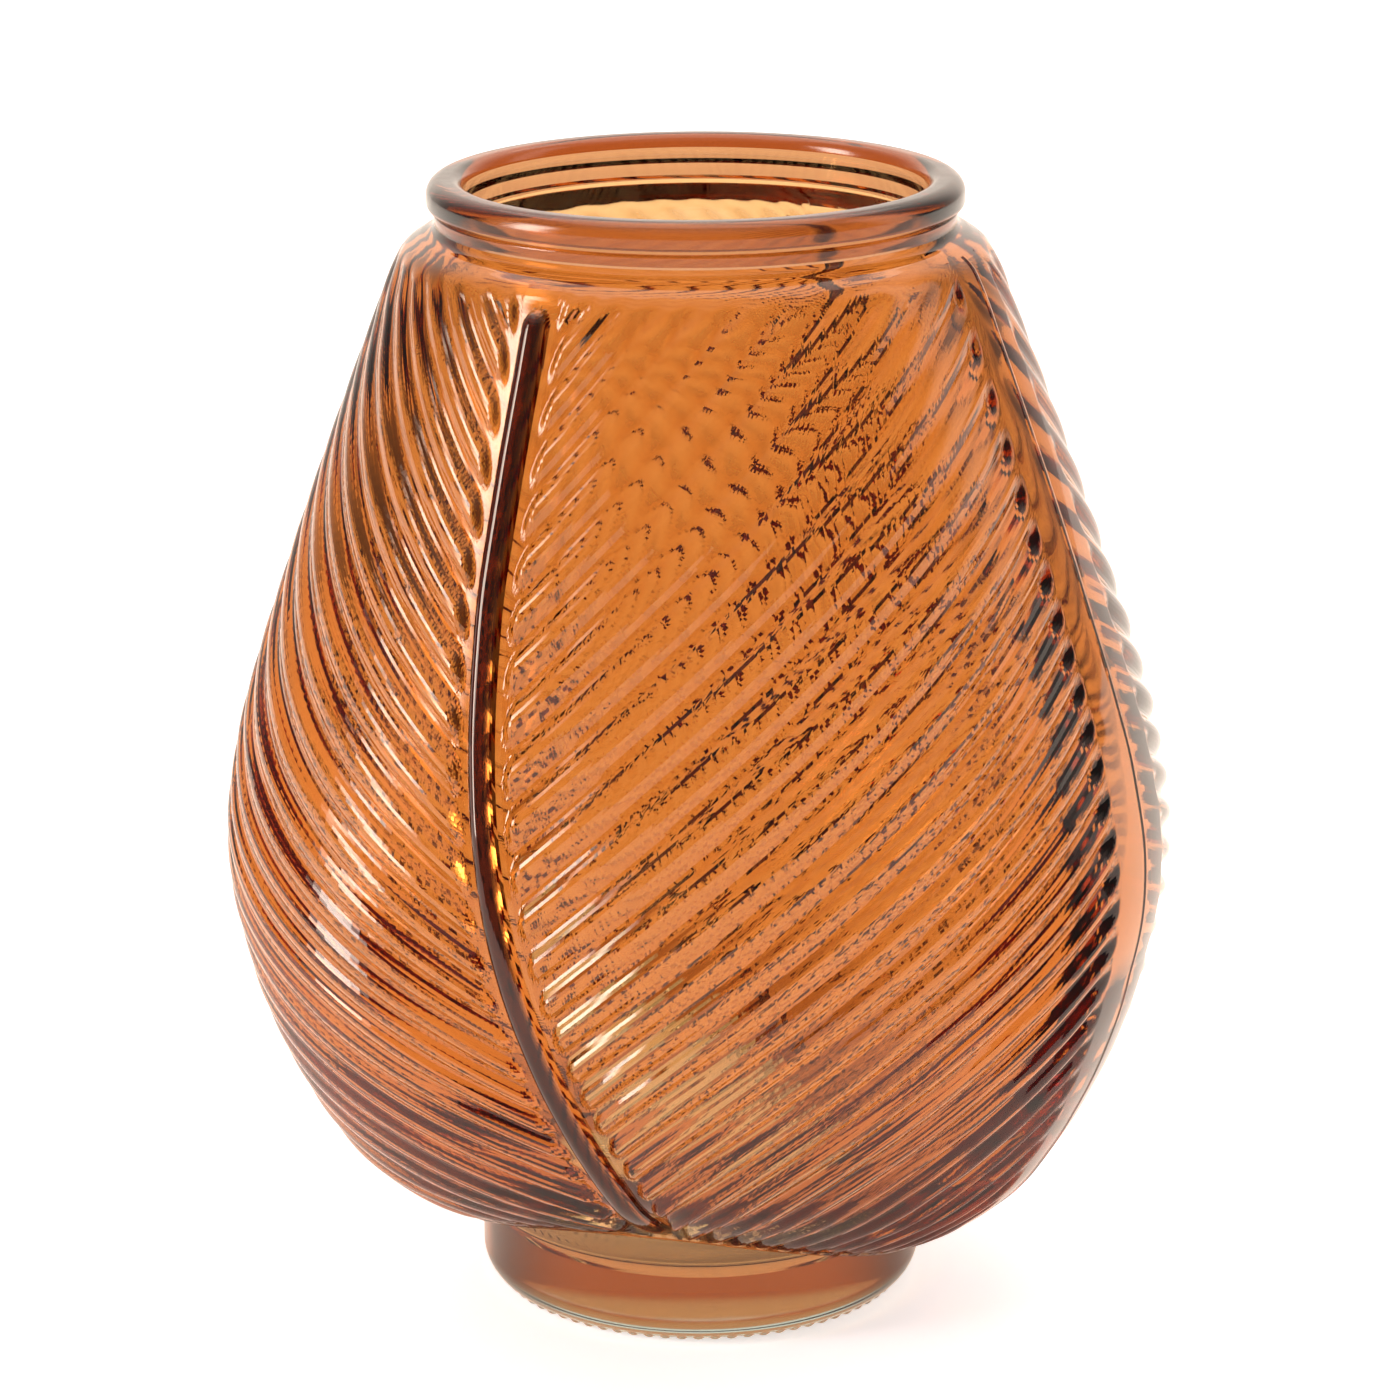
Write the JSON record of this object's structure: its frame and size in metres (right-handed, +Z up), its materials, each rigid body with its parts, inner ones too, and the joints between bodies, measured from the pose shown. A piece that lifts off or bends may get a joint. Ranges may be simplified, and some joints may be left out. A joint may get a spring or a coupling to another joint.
{
  "type": "leaf moulded glass vase",
  "caption": "Footed ovoid glass vase with a beaded rim and raised leaf veins, amber coated outside, for cut flowers.",
  "frame": {"origin": "centre of the standing ring, on the plane the vase stands on", "axes": "+Z up the vase axis to the mouth, +X and -X through the two mould seams, -Y out through the middle of the front leaf"},
  "size_m": [0.15, 0.1522, 0.18],
  "materials": {
    "amber_glass": "clear soda-lime glass with a glossy transparent amber coating on its outside",
    "clear_glass": "uncoated clear soda-lime glass, fire polished, faint grey-green"
  },
  "bodies": {
    "root": {"rim_bead": "amber_glass", "neck_collar": "amber_glass", "wall_front": "amber_glass", "wall_back": "amber_glass", "seam_margin_right": "amber_glass", "seam_margin_left": "amber_glass", "midrib_front": "amber_glass", "midrib_back": "amber_glass", "veins_front_right": "amber_glass", "veins_front_left": "amber_glass", "veins_back_right": "amber_glass", "veins_back_left": "amber_glass", "foot_base": "clear_glass", "heel_dots": "clear_glass"}
  },
  "joints": []
}
